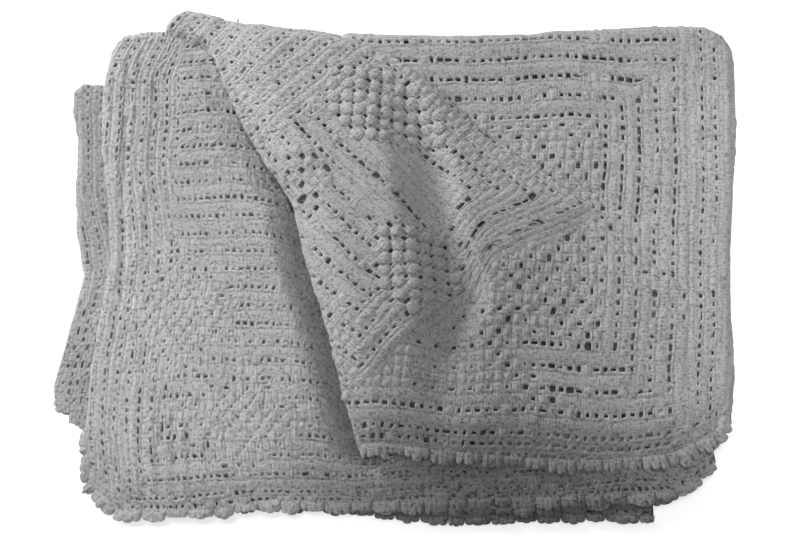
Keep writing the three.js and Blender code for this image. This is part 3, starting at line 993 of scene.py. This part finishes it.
def lower_left_plan(p, q):
    y = -165 + q * 6.6
    edge = smooth_line(y, [-130, -90, -45, 2, 62, 131, 160], [-240, -239, -231, -222, -231, -236, -237])
    return edge + p * 5.0, y


def lower_left_chart(i, j, x, y):
    """Columns of eyelets, closer set towards the hem."""
    kind = np.where((i % 2 == 1) | ((y < -20) & (j % 2 == 0)), EYELET, BLOCK)
    return kind, np.ones(len(i), bool), np.where(y > 60, 0.12, 0.19)


def lower_left_hem(share):
    x = np.interp(share, [0, 0.5, 1], [-240, -218, -192])
    y = np.interp(share, [0, 0.5, 1], [-93, -117, -155])
    return np.stack([x, y, lower_left_height(x, y)], 1)


LOWER_RIGHT_OUTLINE = (
    (200, -124, 0),
    (215, -124, 3.6),
    (224, -112, 3.6),
    (229, -60, 3.6),
    (232, 50, 3.6),
    (235, 140, 3.6),
    (228, 164, 4),
    (200, 166, 0),
)


def lower_right_height(x, y):
    return layer_height(1.4, x, y)


def lower_right_plan(p, q):
    return 200 + p * 6.4, -180 + q * 8.2


def lower_right_chart(i, j, x, y):
    """Solid columns throughout."""
    return np.full(len(i), BLOCK), np.ones(len(i), bool), np.zeros(len(i))


def hem_strip(column, layer, x_from, x_to, seed):
    """The front strip of a layer underneath, a few rows deep, and the line of its edging."""

    def height(x, y):
        return layer_height(layer, x, y) + 0.2

    def plan(p, q):
        x = x_from + p * 6.6
        return x, hem(column, x) + SHELL_ROOM + q * 6.8

    def chart(i, j, x, y):
        return np.where(j % 2 == 0, EYELET, BLOCK), np.zeros(len(i), bool), np.full(len(i), 0.18)

    def line(share):
        x = x_from + share * (x_to - x_from)
        y = hem(column, x) + SHELL_ROOM
        return np.stack([x, y, height(x, y)], 1)

    outline = ((x_from - 5, -260, 0), (x_to + 5, -260, 0), (x_to + 5, 0, 0), (x_from - 5, 0, 0))
    return Panel(outline, height, plan, (0, round((x_to - x_from) / 6.6)), (0, 5), chart, seed, 4), line


def side(name, inset):
    """A side fold's line from the hems to the back, moved inwards for a layer within it."""
    return lambda along: smooth_line(along, SIDES["along"], SIDES[name]) + inset


flap = Panel(FLAP_OUTLINE, flap_height, flap_plan, (-12, 52), (-12, 52), flap_chart, 11, 6, 0.28, 0.12, 0.68)
right = Panel(RIGHT_OUTLINE, right_height, right_plan, (-50, 5), (0, 50), right_chart, 23, 6, 0.35, 0.13)
left = Panel(LEFT_OUTLINE, left_height, left_plan, (-4, 92), (0, 58), left_chart, 37, 4, 0.2, 0.22, 0.36)
lower_left = Panel(
    LOWER_LEFT_OUTLINE, lower_left_height, lower_left_plan, (-4, 10), (0, 52), lower_left_chart, 41, 4
)
lower_right = Panel(
    LOWER_RIGHT_OUTLINE, lower_right_height, lower_right_plan, (0, 8), (0, 46), lower_right_chart, 43, 4
)
middle_strip, middle_strip_hem = hem_strip("middle_under", 2.3, -180, 195, 51)
inner_strip, inner_strip_hem = hem_strip("inner_under", 1.6, -184, 187, 71)
lowest_strip, lowest_strip_hem = hem_strip("top_under", 0.9, -178, 179, 61)

pieces = {
    "flap": new_piece("flap", yarn, crochet(flap)),
    "right": new_piece("right_panel", yarn, crochet(right), edging(right_hem, 11, 2.8, 5, 0.34)),
    "left": new_piece("left_panel", yarn, crochet(left), edging(left_hem, 9, 2.4, 6, 0.16)),
    # The lower folds, the lower hems and the layers within are in darker copies of the yarn: painted shade.
    "lower_folds": new_piece(
        "lower_folds", half_shaded_yarn, crochet(lower_left), edging(lower_left_hem, 7.5, 2.5, 7), crochet(lower_right)
    ),
    "lower_hems": new_piece(
        "lower_hems",
        shaded_yarn,
        crochet(middle_strip),
        edging(middle_strip_hem, 7, 2.0, 52),
        crochet(inner_strip),
        edging(inner_strip_hem, 7, 1.5, 72),
        crochet(lowest_strip),
        edging(lowest_strip_hem, 7, 1.0, 62),
    ),
    # The cloth seen through the holes, in the darkest copy of the yarn: painted shade.
    "beneath": new_piece(
        "layer_beneath",
        deep_shaded_yarn,
        close_layer(flap, 2.6),
        close_layer(right, 3.0),
        close_layer(left, 2.8),
        close_layer(lower_left, 1.8),
        close_layer(middle_strip, 1.4),
        close_layer(inner_strip, 1.2),
        close_layer(lowest_strip, 1.2),
    ),
    "within": new_piece(
        "folded_layers",
        shaded_yarn,
        plain_layer(3, "inner", side("left", 8), side("right", -24)),
        plain_layer(2, "inner_under", side("left_under", 6), side("right_under", -22), 0.5),
        plain_layer(1, "middle_under", side("left_under", 6), side("right_under", -42), 0.8),
        plain_layer(0, "top_under", side("left_under", 30), side("right_under", -54), 0.6),
    ),
}

# Each piece is a stretch of the one cloth, attached to the root body; the solid blanket is hidden
for name, piece in pieces.items():
    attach(piece, "root")
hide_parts("blanket")

# Stage, light and camera
floor_mesh = bpy.data.meshes.new("floor")
floor_mesh.from_pydata([(-4, -4, 0), (4, -4, 0), (4, 4, 0), (-4, 4, 0)], [], [(0, 1, 2, 3)])
floor = bpy.data.objects.new("floor", floor_mesh)
floor.location.z = -0.0006
floor.visible_diffuse = False
bpy.context.collection.objects.link(floor)
paper = bpy.data.materials.new("paper")
paper.use_nodes = True
paper_sockets = paper.node_tree.nodes["Principled BSDF"].inputs
paper_sockets["Base Color"].default_value = (0.45, 0.45, 0.45, 1)
paper_sockets["Roughness"].default_value = 1.0
paper_sockets["Emission Color"].default_value = (1, 1, 1, 1)
paper_sockets["Emission Strength"].default_value = 0.7
floor_mesh.materials.append(paper)

scene = bpy.context.scene
scene.view_settings.view_transform = "Standard"
world = bpy.data.worlds.new("studio")
world.use_nodes = True
world_sockets = world.node_tree.nodes["Background"].inputs
world_sockets["Color"].default_value = (1, 1, 1, 1)
world_sockets["Strength"].default_value = 0.37
scene.world = world


def soft_spot(name, where, towards, angle, power):
    """A round studio lamp whose light fades from the middle of its cone."""
    data = bpy.data.lights.new(name, "SPOT")
    data.energy, data.spot_size, data.spot_blend = power, math.radians(angle), 1.0
    data.shadow_soft_size = 0.25
    made = bpy.data.objects.new(name, data)
    made.location = where
    made.rotation_euler = (Vector(towards) - Vector(where)).to_track_quat("-Z", "Y").to_euler()
    bpy.context.collection.objects.link(made)


soft_spot("front_left_lamp", (-0.4, -0.4, 1.6), (-0.23, -0.22, 0), 10, 320)
soft_spot("back_left_lamp", (-0.4, 0.4, 1.6), (-0.2, 0.16, 0), 11, 230)
soft_spot("back_lamp", (0.3, 0.7, 1.6), (0.18, 0.22, 0), 13, 85)
soft_spot("right_lamp", (0.55, 0.02, 1.6), (0.39, 0.0, 0), 13, 290)
key = bpy.data.lights.new("key", "AREA")
key.size, key.energy = 0.5, 32
key_lamp = bpy.data.objects.new("key", key)
key_lamp.location = (-1.25, 0.9, 0.6)
key_lamp.rotation_euler = (-key_lamp.location).to_track_quat("-Z", "Y").to_euler()
bpy.context.collection.objects.link(key_lamp)

AIM = Vector((-0.003, -0.0065, 0.015))
ELEVATION = math.radians(66)
DISTANCE = 1.9
PIXEL, IMAGE_WIDTH = 0.00072, 794  # metres in a pixel at that distance, pixels across
SENSOR = 36
camera_data = bpy.data.cameras.new("camera")
camera_data.sensor_width = SENSOR
camera_data.lens = SENSOR * DISTANCE / PIXEL / IMAGE_WIDTH
camera = bpy.data.objects.new("camera", camera_data)
backward = Vector((0, -math.cos(ELEVATION), math.sin(ELEVATION)))
camera.location = AIM + backward * DISTANCE
camera.rotation_euler = (-backward).to_track_quat("-Z", "Y").to_euler()
bpy.context.collection.objects.link(camera)
scene.camera = camera
